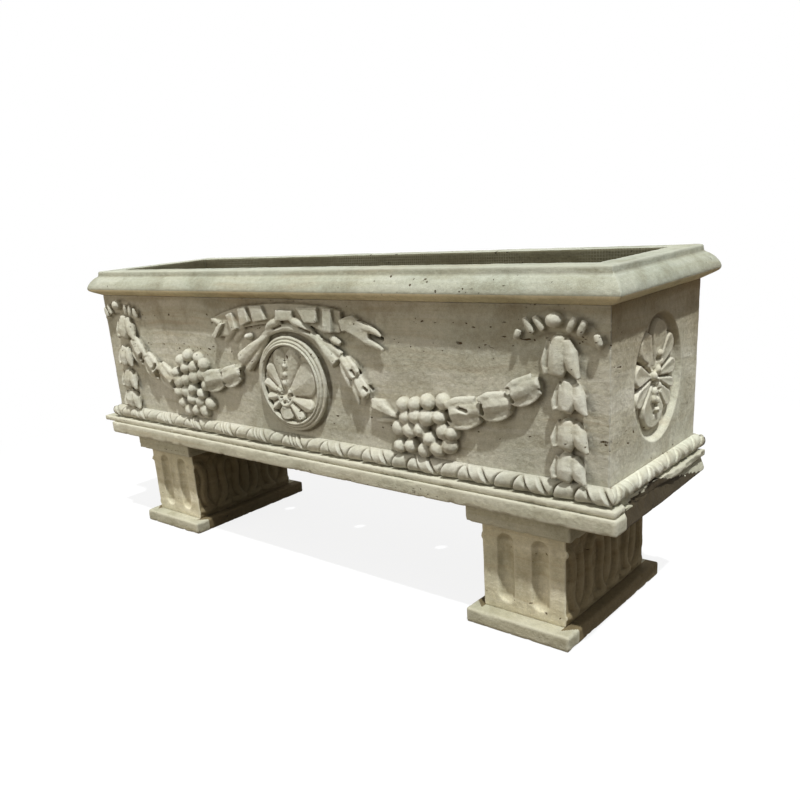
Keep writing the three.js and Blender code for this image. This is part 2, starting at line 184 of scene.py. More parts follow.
# Travertine: a limestone laid down in beds, so its colour runs in level bands, with small pits along them.
# It is sawn or carved and left unpolished, which gives a dry, slightly grainy face with soft light.
travertine = {
    "beds": [(0.28, "#b5ab95"), (0.44, "#bfbca9"), (0.6, "#cbc9bb"), (0.74, "#bfbca9")],  # honey, cream and pale
    "patches": [("blotches", "#b0b2a2", 0.42, 0.68, 0.75),  # grey-green: noise from and to, then their share
                ("earth", "#8f856c", 0.5, 0.72, 0.6)],      # and a thin wash of earth
    "pale": "#cbc9bb",     # rubbed edges
    "soilAndShade": "#54452e",     # dirt and painted shade in hollows and pits
    "wash": "#a48d6a",     # what rain brings down from the bed above
    "thread": "#96927b",   # of the mesh, where the resin is worn off
    "bandHeight": 17,      # mm between beds
    "bend": (0, 0, 0.06),  # m that the slow wave lifts them
    "pits": [(15, 0.5, 0.3), (6.3, 0.42, 0.34)],  # mm between them, luck that makes one, the largest as a share
    "pitStray": (0.03, 0.03, 0.02),               # m out of its row
    "washTop": 0.5675,     # m over the floor, just under the rim
    "ground": (-0.164, -0.155),                   # m, from proud carving to the face of the front wall
    "mesh": 5,             # mm between threads
    "bump": 0.0018,        # m
    "roughness": 0.85,
}
stoneNoise = {  # mm across, detail, roughness
    "bend": (333.33, 2, 0.5),
    "blotches": (140, 3, 0.5),
    "earth": (70, 6, 0.65),
    "grain": (1.6, 4, 0.7),  # about twice the real grain so that it shows
    "mottle": (9, 5, 0.75),
    "stray": (22.222, 1, 0.5),
    "tooling": (7.1429, 3, 0.5),
}


def makeTravertine(name, tone="#ffffff", clean=1.0, pits=1.0, stain=0.0, stainDepth=0.045, mesh=False):
    material = bpy.data.materials.new(name)
    tree = emptyTree(material)
    spot = addNode(tree, "TexCoord").outputs["Object"]
    stone = {}
    for key, (size, detail, rough) in stoneNoise.items():
        stone[key] = addNode(tree, "TexNoise", {"Vector": spot, "Scale": 1 / (size * mm),
                                                "Detail": detail, "Roughness": rough})

    # Beds: noise stretched level, bent a little by a slow wave
    bent = addNode(tree, "VectorMath", [stone["bend"].outputs["Color"], travertine["bend"], spot],
                   operation="MULTIPLY_ADD")
    perBed = 1 / (travertine["bandHeight"] * mm)
    beds = addNode(tree, "Mapping", {"Vector": bent, "Scale": (perBed * 0.05, perBed * 0.05, perBed)})
    bedNoise = addNode(tree, "TexNoise", {"Vector": beds, "Scale": 1.0, "Detail": 5.0, "Roughness": 0.6})
    colour = addNode(tree, "ValToRGB", [bedNoise])
    setStops(colour, travertine["beds"])
    patches = []
    for key, tint, low, high, share in travertine["patches"]:
        patch = addNode(tree, "MapRange", [stone[key], low, high, 0, share])
        colour = addNode(tree, "Mix", {"Factor": patch, 6: colour, 7: linear(tint)}, data_type="RGBA")
        patches.append(patch)

    # Grain
    speckle = addNode(tree, "Math", [stone["grain"], stone["mottle"]], operation="ADD")
    grainTone = addNode(tree, "MapRange", [speckle, 0.7, 1.3, 0.78, 1.16])
    colour = addNode(tree, "Mix", {"Factor": 1.0, 6: colour, 7: grainTone}, data_type="RGBA", blend_type="MULTIPLY")

    # Pits lie in rows along some of the beds: many small ones, a few large
    strayed = addNode(tree, "VectorMath", [stone["stray"].outputs["Color"], travertine["pitStray"], bent],
                      operation="MULTIPLY_ADD")
    rows = addNode(tree, "TexNoise", {"Vector": beds, "Scale": 0.6, "Detail": 3.0})
    layers = []
    for spacing, luck, largest in travertine["pits"]:
        perPit = 1 / (spacing * mm)
        pitPlace = addNode(tree, "Mapping", {"Vector": strayed, "Scale": (perPit * 0.7, perPit * 0.7, perPit * 1.5)})
        cells = addNode(tree, "TexVoronoi", {"Vector": pitPlace, "Scale": 1.0}, feature="F1")
        cellLuck = addNode(tree, "SeparateColor", [cells.outputs["Color"]])
        chance = addNode(tree, "Math", [cellLuck, rows], operation="MULTIPLY")
        radius = addNode(tree, "MapRange", [chance, luck, luck + 0.16, -0.1, largest * pits])
        ragged = addNode(tree, "Math", [stone["grain"], 0.3, cells], operation="MULTIPLY_ADD")
        inside = addNode(tree, "Math", [radius, ragged], operation="SUBTRACT")
        layers.append(addNode(tree, "MapRange", [inside, -0.17, -0.05]))
    pitMask = addNode(tree, "Math", [layers[0], layers[1]], operation="MAXIMUM")

    # Soil and painted shade darken the hollows found on each mesh and the pits; proud edges are rubbed pale
    hollow = addNode(tree, "Attribute", attribute_name="hollows").outputs["Fac"]
    deep = addNode(tree, "MapRange", [hollow, 0.47, 0.12, 0, 0.85])
    soilAndShade = addNode(tree, "Math", [deep, grainTone], operation="MULTIPLY")
    rubbed = addNode(tree, "MapRange", [hollow, 0.54, 0.85, 0, 0.7])
    for mask, tint in ((soilAndShade, "soilAndShade"), (rubbed, "pale"), (pitMask, "soilAndShade")):
        colour = addNode(tree, "Mix", {"Factor": mask, 6: colour, 7: linear(travertine[tint])}, data_type="RGBA")

    # Rain and soil wash down from the bed above, more over the ground than over the carving
    if stain:
        axes = addNode(tree, "SeparateXYZ", [bent]).outputs
        drips = addNode(tree, "TexNoise", {"Vector": spot, "Scale": 14.0, "Detail": 4.0})
        level = addNode(tree, "Math", [drips, 0.05, axes["Z"]], operation="MULTIPLY_ADD")
        top = travertine["washTop"]
        reach = addNode(tree, "MapRange", [level, top - stainDepth, top, 0.16, stain])
        onGround = addNode(tree, "MapRange", [axes["Y"], *travertine["ground"], 0.15])
        wash = addNode(tree, "Math", [reach, onGround], operation="MULTIPLY")
        colour = addNode(tree, "Mix", {"Factor": wash, 6: colour, 7: linear(travertine["wash"])},
                         data_type="RGBA", blend_type="MULTIPLY")
    # A gain over 1 makes a paler copy of the stone: painted light
    colour = addNode(tree, "Mix", {"Factor": 1.0, 6: colour, 7: [clean * channel for channel in linear(tone)]},
                     data_type="RGBA", blend_type="MULTIPLY")

    # Fibre mesh glued to the back of a thin slab: threads in both directions
    if mesh:
        axes = addNode(tree, "SeparateXYZ", [spot]).outputs
        along = addNode(tree, "Math", [axes["X"], axes["Y"]], operation="ADD")
        threads = []
        for position in (along, axes["Z"]):
            count = addNode(tree, "Math", [position, 1 / (travertine["mesh"] * mm)], operation="MULTIPLY")
            within = addNode(tree, "Math", [count, 0.5], operation="PINGPONG")
            threads.append(addNode(tree, "MapRange", [within, 0.17, 0.05]))
        woven = addNode(tree, "Math", [threads[0], threads[1]], operation="MAXIMUM")
        bare = addNode(tree, "Math", [woven, patches[0]], operation="MULTIPLY")
        colour = addNode(tree, "Mix", {"Factor": bare, 6: colour, 7: linear(travertine["thread"])}, data_type="RGBA")

    # Bump: pits, tool marks and grain
    surface = addNode(tree, "Math", [speckle, 0.5, stone["tooling"]], operation="MULTIPLY_ADD")
    height = addNode(tree, "Math", [pitMask, -1.6, surface], operation="MULTIPLY_ADD")
    bump = addNode(tree, "Bump", {"Height": height, "Strength": 0.75, "Distance": travertine["bump"]})
    shader = addNode(tree, "BsdfPrincipled", {"Base Color": colour, "Roughness": travertine["roughness"], "IOR": 1.5,
                                              "Specular IOR Level": 0.25, "Normal": bump})
    addNode(tree, "OutputMaterial", [shader])
    return material


carvedTravertine = makeTravertine("carved_travertine", stain=0.5)  # soil runs down from the rim
litEndTravertine = makeTravertine("washed_travertine", clean=1.36, stain=0.85, stainDepth=0.12)  # a paler copy of the stone for the ends, painted light; darker and browner towards the top
litEndTorusTravertine = makeTravertine("clean_travertine", clean=1.38)  # a paler copy for the torus on the right end, painted light
rimTravertine = makeTravertine("moulded_travertine", "#e6e9e5")  # rubbed by hand, a little grey, and darkened as painted shade so its sunlit top does not glare
coveTravertine = makeTravertine("soiled_moulding_painted_bounce", "#f4ebd6", 1.45)  # warm stain under the nose, made paler as painted bounce light
sawnTravertine = makeTravertine("sawn_travertine", "#f7f5ee", pits=0.9)  # even, from the saw
pedestalTravertine = makeTravertine("pedestal_travertine", "#e8e5da", pits=0.8)  # greyer, handled
flutedTravertine = makeTravertine("fluted_travertine", "#fff9ec", 1.12, 0.8)  # warm light from the earth
darkSideTravertine = makeTravertine("dark_side_travertine", "#b9ab92", pits=0.8)  # darker on the carved sides of the shafts
shadedBaseTravertine = makeTravertine("damp_travertine", "#94856b", pits=0.8)  # painted shadow for the ends of the bases, under the plinth
paintedEndShadow = makeTravertine("natural_skin", "#5c5142")  # painted shadow on the plinth's broken end, under the torus
meshBacked = makeTravertine("mesh_backed_travertine", "#85816f", mesh=True)  # resin-dark, with pale threads
print("materials ready")


# Carving kit. A side of the box is carved lying down: x along it, y up it, z out of it, all in mm.

def stroke(points, flat=1.0):  # points: x, y, z, radius
    curve = add(bpy.ops.curve.primitive_nurbs_path_add).data
    curve.splines.remove(curve.splines[0])
    spline = curve.splines.new("NURBS")
    spline.points.add(len(points) - 1)
    for point, (x, y, z, radius) in zip(spline.points, points):
        point.co = (x * mm, y * mm, z * mm / flat, 1)
        point.radius = radius
    spline.order_u = min(4, len(points))
    spline.use_endpoint_u = True
    curve.bevel_depth = mm
    curve.bevel_resolution = 2
    curve.resolution_u = 5
    curve.use_fill_caps = True
    bpy.ops.object.convert(target="MESH")
    obj = bpy.context.object
    place(obj, Matrix.Diagonal((1, 1, flat, 1)))
    return obj


def blob(x, y, z, width, height, depth, turn=0.0, fine=3):
    obj = add(bpy.ops.mesh.primitive_ico_sphere_add, subdivisions=fine, radius=0.5)
    place(obj, Matrix.Translation((x * mm, y * mm, z * mm)) @ Matrix.Rotation(turn, 4, "Z")
          @ Matrix.Diagonal((width * mm, height * mm, depth * mm, 1)))
    return obj


def block(middle, size):  # in metres
    obj = add(bpy.ops.mesh.primitive_cube_add, size=1)
    place(obj, Matrix.Translation(middle) @ Matrix.Diagonal((*size, 1)))
    return obj


# A pleat of ribbon: corners top left, top right, bottom left and bottom right, and how far top and bottom stand out
def pleat(corners, top, bottom):
    obj = block((0, 0, 0), (1, 1, 1))
    for vertex in obj.data.vertices:
        x, y = corners[(0 if vertex.co.y > 0 else 2) + (0 if vertex.co.x < 0 else 1)]
        z = -4 if vertex.co.z < 0 else top if vertex.co.y > 0 else bottom
        vertex.co = (x * mm, y * mm, z * mm)
    return obj


# Lobes of a husk that hangs down and flares towards its mouth, as shares: across, up, height of the crest, radius
bellLobes = [
    [(-0.24, 0.32, 0.56, 0.13), (-0.36, 0.06, 0.74, 0.15), (-0.40, -0.20, 0.84, 0.14), (-0.34, -0.42, 0.84, 0.11)],
    [(-0.02, 0.48, 0.64, 0.14), (-0.05, 0.22, 0.84, 0.27), (-0.05, -0.10, 0.96, 0.29), (-0.06, -0.33, 1.00, 0.26),
     (-0.08, -0.46, 0.96, 0.18)],
    [(0.16, 0.38, 0.60, 0.12), (0.26, 0.14, 0.78, 0.21), (0.30, -0.12, 0.88, 0.21), (0.40, -0.32, 0.90, 0.16),
     (0.55, -0.50, 0.78, 0.06)],
]
# and of one along a swag, its mouth down in this drawing: body, shaded inside and lip
cupLobes = [
    [(-0.30, 0.34, 0.66, 0.13), (-0.38, 0.04, 0.84, 0.17), (-0.38, -0.24, 0.96, 0.16), (-0.30, -0.48, 0.92, 0.10)],
    [(-0.04, 0.46, 0.72, 0.20), (-0.08, 0.16, 0.98, 0.32), (-0.08, -0.14, 1.10, 0.32), (-0.06, -0.40, 1.06, 0.24)],
    [(0.16, 0.38, 0.60, 0.15), (0.20, 0.10, 0.78, 0.24), (0.20, -0.18, 0.82, 0.24), (0.18, -0.42, 0.74, 0.14)],
    [(0.28, 0.38, 0.52, 0.07), (0.42, 0.12, 0.68, 0.07), (0.44, -0.14, 0.78, 0.07), (0.34, -0.40, 0.78, 0.06),
     (0.16, -0.56, 0.64, 0.04)],
]
# the first of a swag is a cone that hangs from the bow
hornLobes = [
    [(-0.02, 0.50, 0.50, 0.08), (-0.06, 0.20, 0.80, 0.20), (-0.10, -0.12, 0.96, 0.31), (-0.12, -0.44, 1.00, 0.35)],
    [(0.04, 0.46, 0.40, 0.06), (0.16, 0.16, 0.60, 0.14), (0.28, -0.14, 0.70, 0.19), (0.36, -0.44, 0.68, 0.18)],
]


# Cut with the flat chisel, so its faces are left in facets
def husk(x, y, turn, width, height, lobes=bellLobes, hand=1, depth=20):
    flat = 0.8
    core = 0.36 if lobes is hornLobes else 0.86
    pieces = [blob(-0.03 * width, 0.08 * height, 0.1 * depth, core * width, 0.8 * height, 1.05 * depth)]
    for lobe in lobes:
        points = [(hand * px * width, py * height, crest * depth - radius * width * flat, radius * width)
                  for px, py, crest, radius in lobe]
        pieces.append(stroke(points, flat))
    whole = joinPieces(pieces, "husk")
    addModifier(whole, "DECIMATE", ratio=0.16)
    place(whole, Matrix.Translation((x * mm, y * mm, 0)) @ Matrix.Rotation(turn, 4, "Z"))
    return whole


# Squares the stone: its back is thickened, its ends mitred and its beds sawn level
def cutToSize(whole, halfLength, back):
    makeActive(whole)
    bpy.ops.object.mode_set(mode="EDIT")
    bpy.ops.mesh.select_all(action="SELECT")
    bpy.ops.mesh.bisect(plane_co=(0, 0, -back * mm), plane_no=(0, 0, 1), use_fill=True, clear_inner=True)
    bpy.ops.mesh.extrude_region_move(TRANSFORM_OT_translate={"value": (0, 0, (back - wall["thickness"]) * mm)})
    bpy.ops.object.mode_set(mode="OBJECT")
    saw(whole, mitres(halfLength) + [((0, 0, 0), (0, -1, 0)), ((0, wallHeight, 0), (0, 1, 0))])


def roughen(obj, size, depth):
    texture = bpy.data.textures.new("ripple", "CLOUDS")
    texture.noise_scale = size * mm
    texture.noise_depth = 3
    addModifier(obj, "DISPLACE", texture=texture, strength=depth * mm, mid_level=0.5)


def fuse(pieces, name, voxel, smoothing=1):
    whole = joinPieces(pieces, name)
    addModifier(whole, "REMESH", mode="VOXEL", voxel_size=voxel * coarse * mm, use_smooth_shade=True)
    if smoothing:
        addModifier(whole, "SMOOTH", factor=0.5, iterations=smoothing)
    return whole


def verticesOf(obj):
    places = np.empty(len(obj.data.vertices) * 3)
    obj.data.vertices.foreach_get("co", places)
    return places.reshape(-1, 3) / mm


def moveVertices(obj, places):
    obj.data.vertices.foreach_set("co", (places * mm).ravel())
    obj.data.update()


# Sinks holes and slots from the face: x and y, of both ends for a slot, then radius and depth
def drill(obj, cuts):
    places = verticesOf(obj)
    for *ends, radius, depth in cuts:
        x1, y1, x2, y2 = ends if len(ends) == 4 else ends * 2
        along = np.array((x2 - x1, y2 - y1), dtype=float)
        reach = max(along @ along, 1e-6)
        share = np.clip(((places[:, 0] - x1) * along[0] + (places[:, 1] - y1) * along[1]) / reach, 0, 1)
        gap = np.hypot(places[:, 0] - x1 - share * along[0], places[:, 1] - y1 - share * along[1]) / radius
        places[:, 2] -= np.where((gap < 1) & (places[:, 2] > -12), depth * (1 - gap ** 3), 0)
    moveVertices(obj, places)


def turnGrooves(obj, x, y, rings):  # round grooves: radius, half width, depth
    places = verticesOf(obj)
    radii = np.hypot(places[:, 0] - x, places[:, 1] - y)
    for radius, width, depth in rings:
        places[:, 2] -= np.where(places[:, 2] > -9, depth * np.exp(-((radii - radius) / width) ** 2), 0)
    moveVertices(obj, places)


# Petals cut from a level ground inside an oval: middle and half the span of each in degrees, then its length. They
# leave a hub off the oval's centre. A positive ridge raises the middle of a petal, a negative one its borders;
# lean makes the lower petals prouder.
def carveRosette(obj, flower):
    places = verticesOf(obj)
    x, y, halfWidth, halfHeight = flower["oval"]
    hubX, hubY = (flower["hub"][0] - x) / halfWidth, (flower["hub"][1] - y) / halfHeight
    across, up = (places[:, 0] - x) / halfWidth - hubX, (places[:, 1] - y) / halfHeight - hubY
    reach = np.maximum(np.hypot(across, up), 1e-6)
    along = (hubX * across + hubY * up) / reach
    share = reach / (np.sqrt(np.maximum(along ** 2 + 1 - hubX ** 2 - hubY ** 2, 0)) - along)
    angle = np.degrees(np.arctan2(up * halfHeight, across * halfWidth))
    lift = np.zeros(len(places))
    for middle, halfSpan, length in flower["petals"]:
        turn = np.abs((angle - middle + 180) % 360 - 180) / halfSpan
        outline = length * (1 - 0.22 * np.minimum(turn, 1) ** 2.5)
        border = (1 - turn) * math.radians(halfSpan) * reach * halfWidth / flower["groove"]
        edge = np.clip(np.minimum(border, (outline - share) * halfWidth / 3), 0, 1)
        rise = flower["rise"] * (1 - flower["lean"] * math.sin(math.radians(middle)))
        body = rise * (0.5 + 0.6 * share) * (1 + flower["ridge"] * (0.5 - turn))
        lift = np.where((turn < 1) & (share < outline), np.maximum(lift, body * edge), lift)
    low, high = flower["ground"]
    onGround = (share < 0.99) & (places[:, 2] > low) & (places[:, 2] < high)
    places[:, 2] += np.where(onGround, lift, 0)
    moveVertices(obj, places)


hollowDepth = 2.6  # mm


# Compares the stone with a smoothed copy of itself: below 0.5 in hollows, above it on edges
def paintHollows(obj):
    smooth = obj.copy()
    smooth.data = obj.data.copy()
    bpy.context.collection.objects.link(smooth)
    addModifier(smooth, "SMOOTH", factor=1.0, iterations=14)
    shades = []
    for vertex, other in zip(obj.data.vertices, smooth.data.vertices):
        proud = (vertex.co - other.co).dot(vertex.normal) / (hollowDepth * mm)
        shade = min(1.0, max(0.0, 0.5 + 0.5 * proud))
        shades += [shade, shade, shade, 1.0]
    obj.data.color_attributes.new("hollows", "FLOAT_COLOR", "POINT").data.foreach_set("color", shades)
    bpy.data.objects.remove(smooth)


def triangles(obj):
    return sum(len(face.vertices) - 2 for face in obj.data.polygons)


def finish(obj, node, materials, limit=60000):
    count = triangles(obj)
    if count > limit:  # flat stone loses most
        addModifier(obj, "DECIMATE", ratio=limit / count)
    paintHollows(obj)
    parts = [face.material_index for face in obj.data.polygons]
    obj.data.materials.clear()
    for material in materials:
        obj.data.materials.append(material)
    obj.data.polygons.foreach_set("material_index", parts)
    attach(obj, "root")
    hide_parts(node)
    print(obj.name, triangles(obj), "triangles")


def backInMesh(obj):  # the inner face of a slab takes the second material
    for face in obj.data.polygons:
        inner = face.normal.z < -0.8
        face.material_index = 1 if inner else 0
        face.use_smooth = not inner


def sideMatrix(turn, offset, bottom=0.0, middle=0.0):
    return (Matrix.Translation((middle, 0, bottom)) @ Matrix.Rotation(turn, 4, "Z")
            @ Matrix.Translation((0, -offset * mm, 0)) @ Matrix.Rotation(math.pi / 2, 4, "X"))


backLow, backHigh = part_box("back_panel")
boxMiddle = (backLow[0] + backHigh[0]) / 2
halfLong = (backHigh[0] - backLow[0]) / 2 / mm
halfDeep = backHigh[1] / mm
wallBottom = backLow[2]
wallHeight = (backHigh[2] - backLow[2]) / mm
carvedStep = 1.7  # mm between points of the carved walls

# Front panel
frontCarving = {
    "medallion": (-8, 125, 87),
    "ring": 3.6,           # radius of a ring's round edge
    "ringSpacing": 5.4,
    "ringRise": 3.0,       # each ring stands this much over the one outside it
    "berry": {"rightBunch": (26, 25), "leftBunch": (27, 24)},  # width and height
    "rightBunch": [(249, 112), (272, 116), (300, 120), (329, 124), (253, 92), (274, 96), (296, 97), (322, 98),
                   (239, 71), (260, 70), (283, 76), (302, 62), (326, 78), (343, 77), (237, 43), (262, 46),
                   (288, 42), (313, 48), (338, 54)],
    "leftBunch": [(-310, 159), (-337, 147), (-278, 157), (-261, 142), (-354, 122), (-321, 131), (-292, 138),
                  (-268, 123), (-351, 101), (-323, 109), (-295, 115), (-258, 103), (-353, 79), (-328, 85),
                  (-302, 91), (-277, 84), (-346, 58), (-311, 68), (-284, 65), (-326, 43), (-301, 47), (-276, 46),
                  (-256, 66)],
    "rightDrop": [(529, 207, 0.03, 56, 58), (543, 152, 0.0, 52, 47), (543, 98, 0.0, 55, 45), (541, 50, 0.0, 54, 42)],
    "leftDrop": [(-520, 209, 0.04, 62, 52), (-535, 146, 0.0, 49, 46), (-536, 95, 0.0, 54, 44), (-537, 49, 0.0, 58, 40)],
    "rightHusks": [(371, 111, -1.35, 54, 64), (427, 127, -1.35, 47, 56), (476, 155, -1.1, 44, 54)],
    "leftHusks": [(-388, 112, 1.0, 48, 66), (-439, 131, 0.9, 48, 60), (-481, 160, 0.8, 48, 60)],
    "innerHusks": [(-227, 114, -1.35, 48, 60), (-172, 127, -1.2, 44, 54)],
    "innerRightHusks": [(137, 163, 0.8, 38, 48), (160, 133, 0.65, 36, 46)],
    "horns": [(-97, 183, -0.96, 46, 100), (90, 193, 0.92, 36, 70)],
    # holes left by the running drill, and slots
    "drilled": [(-42, 107, 4, 8), (-8, 105, 4, 8), (-18, 162, 3, 7), (-27, 90, 3.4, 6), (-30, 131, 3.2, 7),
                (364, 119, 377, 116, 3.4, 8), (404, 129, 406, 120, 4.4, 10), (451, 155, 454, 143, 4.4, 10),
                (-416, 134, -424, 124, 4, 9), (-460, 154, -470, 144, 4, 9), (148, 161, 153, 155, 3.6, 5),
                (172, 134, 178, 130, 3.6, 5), (-198, 132, -195, 122, 4, 9), (-144, 150, -148, 141, 4, 8),
                (-40, 223, -20, 229, 3, 6), (30, 228, 52, 220, 3, 6), (512, 226, 511, 194, 3.6, 3),
                (526, 168, 526, 140, 3.4, 3), (525, 114, 525, 86, 3.4, 3), (524, 62, 524, 40, 3.4, 3),
                (-538, 232, -540, 196, 3.4, 3), (-549, 163, -550, 136, 3.4, 3), (-550, 109, -551, 84, 3.4, 3),
                (191, 218, 207, 214, 4.4, 9)],
}
medallionFlower = {
    "oval": (-8, 125, 70, 70), "hub": (-25, 102), "ground": (6.5, 10),
    "rise": 5.5, "lean": 0.45, "ridge": 0.9, "groove": 2.0,
    "petals": [(70, 15, 0.97), (99, 14, 1.0), (128, 14, 0.96), (156, 13, 0.97), (187, 14, 0.98), (219, 15, 0.96),
               (268, 31, 0.97), (315, 15, 0.98), (345, 14, 0.98), (28, 25, 1.0)],
    "knots": [(-18, 158), (-20, 142), (-23, 126), (-40, 111), (-11, 109), (-26, 96)],
}


def medallionPieces():
    x, y, radius = frontCarving["medallion"]
    ring = frontCarving["ring"]
    pieces = [add(bpy.ops.mesh.primitive_cylinder_add, vertices=96, radius=(radius - 2) * mm, depth=16 * mm)]
    for index in range(3):
        major = radius - ring - index * frontCarving["ringSpacing"]
        pieces.append(add(bpy.ops.mesh.primitive_torus_add, major_segments=96, minor_segments=12,
                          minor_radius=ring * mm, major_radius=major * mm))
        place(pieces[-1], Matrix.Translation((0, 0, (8 + index * frontCarving["ringRise"]) * mm)))
    for piece in pieces:
        place(piece, Matrix.Translation((x * mm, y * mm, 0)))
    # the hub: a fold round the lowest knots
    pieces.append(stroke([(-45, 106, 9, 3), (-39, 90, 12, 4), (-25, 80, 12, 5), (-9, 89, 12, 4), (-4, 104, 9, 3)]))
    return pieces + [blob(knotX, knotY, 9, 14, 14, 13, fine=2) for knotX, knotY in medallionFlower["knots"]]


# The bow: the upper and the lower edge of its band, then the pleats that stand out of it
bowBand = [
    ((-216, 236), (-206, 200)), ((-182, 248), (-172, 206)), ((-126, 261), (-124, 222)), ((-62, 266), (-66, 231)),
    ((-14, 268), (-14, 236)), ((44, 267), (42, 236)), ((87, 264), (84, 220)), ((126, 258), (122, 222)),
]
bowPleats = [
    ((-198, 222), (-178, 229), (-214, 203), (-203, 199)), ((-166, 245), (-149, 250), (-153, 214), (-138, 220)),
    ((-130, 258), (-108, 261), (-125, 225), (-101, 234)), ((-97, 263), (-63, 264), (-87, 234), (-55, 239)),
    ((-26, 257), (16, 257), (-28, 239), (13, 240)), ((26, 262), (77, 264), (46, 238), (74, 238)),
    ((91, 262), (110, 262), (88, 225), (107, 222)),
]
# the wing on the right is one sheet that ends in a fork
bowWing = [
    ((122, 243), (128, 226)), ((138, 249), (140, 225)), ((152, 252), (152, 221)), ((170, 242), (172, 211)),
    ((186, 235), (184, 207)),
]


def bowPieces():
    pieces = [
        # loops over the medallion
        stroke([(-62, 220, 4, 6), (-50, 231, 9, 8), (-32, 236, 12, 7), (-18, 238, 9, 5)], 0.9),
        stroke([(10, 240, 9, 6), (24, 236, 12, 8), (42, 230, 9, 8), (56, 218, 4, 6)], 0.9),
        stroke([(-92, 196, 2, 5), (-66, 214, 5, 8), (-36, 224, 7, 8), (0, 228, 7, 7), (38, 222, 7, 8),
                (68, 208, 5, 8)], 0.8),
        # forked end on the right, curled end on the left
        stroke([(170, 233, 4, 9), (188, 231, 6, 8), (203, 227, 9, 5), (213, 220, 9, 2)], 0.8),
        stroke([(170, 214, 3, 8), (188, 207, 5, 8), (202, 204, 8, 5), (216, 198, 9, 3)], 0.8),
        stroke([(97, 212, 3, 5), (109, 209, 9, 8), (121, 203, 7, 5)], 0.9),
        stroke([(-217, 235, 6, 3), (-202, 232, 11, 5), (-188, 227, 8, 5)], 0.9),
        blob(-113, 206, 6, 17, 13, 22, 0.5),
        stroke([(-128, 222, 1, 8), (-146, 207, 2, 8), (-160, 195, 0, 5)], 0.6),
        stroke([(-160, 216, 1, 8), (-178, 203, 2, 7), (-190, 192, 0, 4)], 0.6),
    ]
    for edge, top, bottom in ((bowBand, 8, 7), (bowWing, 10, 12)):
        pieces += [pleat((left[0], right[0], left[1], right[1]), top, bottom) for left, right in zip(edge, edge[1:])]
    return pieces + [pleat(corners, 14, 16) for corners in bowPleats]


def bunchPieces(bunch):
    pieces = []
    places = frontCarving[bunch]
    wide, high = frontCarving["berry"][bunch]
    middleX = sum(x for x, y in places) / len(places)
    middleY = sum(y for x, y in places) / len(places)
    for x, y in places:
        fall = math.hypot(x - middleX, y - middleY) / 60
        width, height, proud = (size * random.uniform(0.94, 1.18) for size in (wide, high, 25))
        pieces.append(blob(x + random.uniform(-1.6, 1.6), y + random.uniform(-1.6, 1.6), 8.5 - 3.5 * fall * fall,
                           width, height, proud, random.uniform(-0.8, 0.8), 2))
    return pieces


# A gathered knob with short pleats on both sides of it; each pleat: its upper and its lower end
gathers = [
    ((522, 256), [(476, 258, 488, 237), (492, 260, 505, 242), (553, 260, 543, 241), (567, 256, 559, 237),
                  (467, 241, 462, 228), (583, 238, 588, 224)]),
    ((-536, 256), [(-503, 258, -506, 236), (-488, 256, -490, 234), (-473, 250, -471, 230), (-569, 257, -562, 236),
                   (-583, 250, -576, 230)]),
]


def gatherPieces(knob, pleats):
    x, y = knob
    cloth = [(-60, -34, 8), (-34, -8, 14), (0, 0, 16), (34, -8, 14), (66, -34, 8)]
    pieces = [blob(x, y, 9, 27, 22, 24, fine=2),
              stroke([(x + dx, y + dy, 0, radius) for dx, dy, radius in cloth], 0.35)]
    for x1, y1, x2, y2 in pleats:
        pieces.append(stroke([(x1, y1, 9, 4.5), ((x1 + x2) / 2, (y1 + y2) / 2, 11, 6.5), (x2, y2, 8, 5)], 0.9))
    return pieces


def frontPieces():
    pieces = medallionPieces() + bowPieces()
    pieces += bunchPieces("rightBunch") + bunchPieces("leftBunch")
    for knob, pleats in gathers:
        pieces += gatherPieces(knob, pleats)
    for group, lobes, hand in (("rightDrop", bellLobes, 1), ("leftDrop", bellLobes, 1), ("rightHusks", cupLobes, 1),
                               ("leftHusks", cupLobes, -1), ("innerHusks", cupLobes, 1),
                               ("innerRightHusks", bellLobes, -1), ("horns", hornLobes, 1)):
        pieces += [husk(*spot, lobes, hand) for spot in frontCarving[group]]
    # leaf over the right bunch
    pieces.append(pleat(((182, 116), (206, 116), (186, 101), (232, 90)), 10, 15))
    pieces.append(stroke([(180, 112, 4, 5), (204, 107, 10, 9), (222, 98, 11, 7), (236, 90, 8, 3)], 0.8))
    pieces.append(stroke([(188, 79, 5, 3), (208, 82, 9, 6), (228, 83, 5, 3)], 0.8))
    return pieces


# Wall slabs of the box

sideTurns = {
    "front": (0, halfLong, halfDeep),
    "right_end": (math.pi / 2, halfDeep, halfLong),
    "back": (math.pi, halfLong, halfDeep),
    "left_end": (-math.pi / 2, halfDeep, halfLong),
}
wall = {"thickness": 30, "margin": 8, "ripple": 1.1}
recess = {
    "x": 5, "y": 151, "halfWidth": 82, "halfHeight": 95, "depth": 11,
    "drilled": [(12, 177, 4, 8), (-3, 165, 4, 8), (1, 144, 4, 8), (27, 128, 23, 133, 3.6, 6), (7, 108, 4, 8),
                (4, 97, 3.6, 7), (39, 76, 3, 5), (-46, 180, -22, 172, 4, 5)],
}
recessFlower = {
    "oval": (5, 151, 75, 88), "hub": (6, 150), "ground": (-14, -9),
    "rise": 7, "lean": 0, "ridge": -0.25, "groove": 1.8,
    "petals": [(42, 15, 0.99), (82, 23, 0.97), (126, 19, 0.97), (169, 17, 0.95), (203, 14, 0.95), (262, 40, 0.9),
               (318, 13, 0.93), (342, 9, 0.95), (7, 13, 0.97)],
    "knots": [(15, 184), (18, 171), (10, 161), (-3, 154), (5, 146), (12, 137), (0, 130), (-2, 119), (9, 115), (8, 101)],
}


def wallSlab(halfLength, depth):
    margin = wall["margin"]
    return block((0, wallHeight / 2 * mm, -depth / 2 * mm),
                 (2 * (halfLength + margin) * mm, (wallHeight + 2 * margin) * mm, depth * mm))


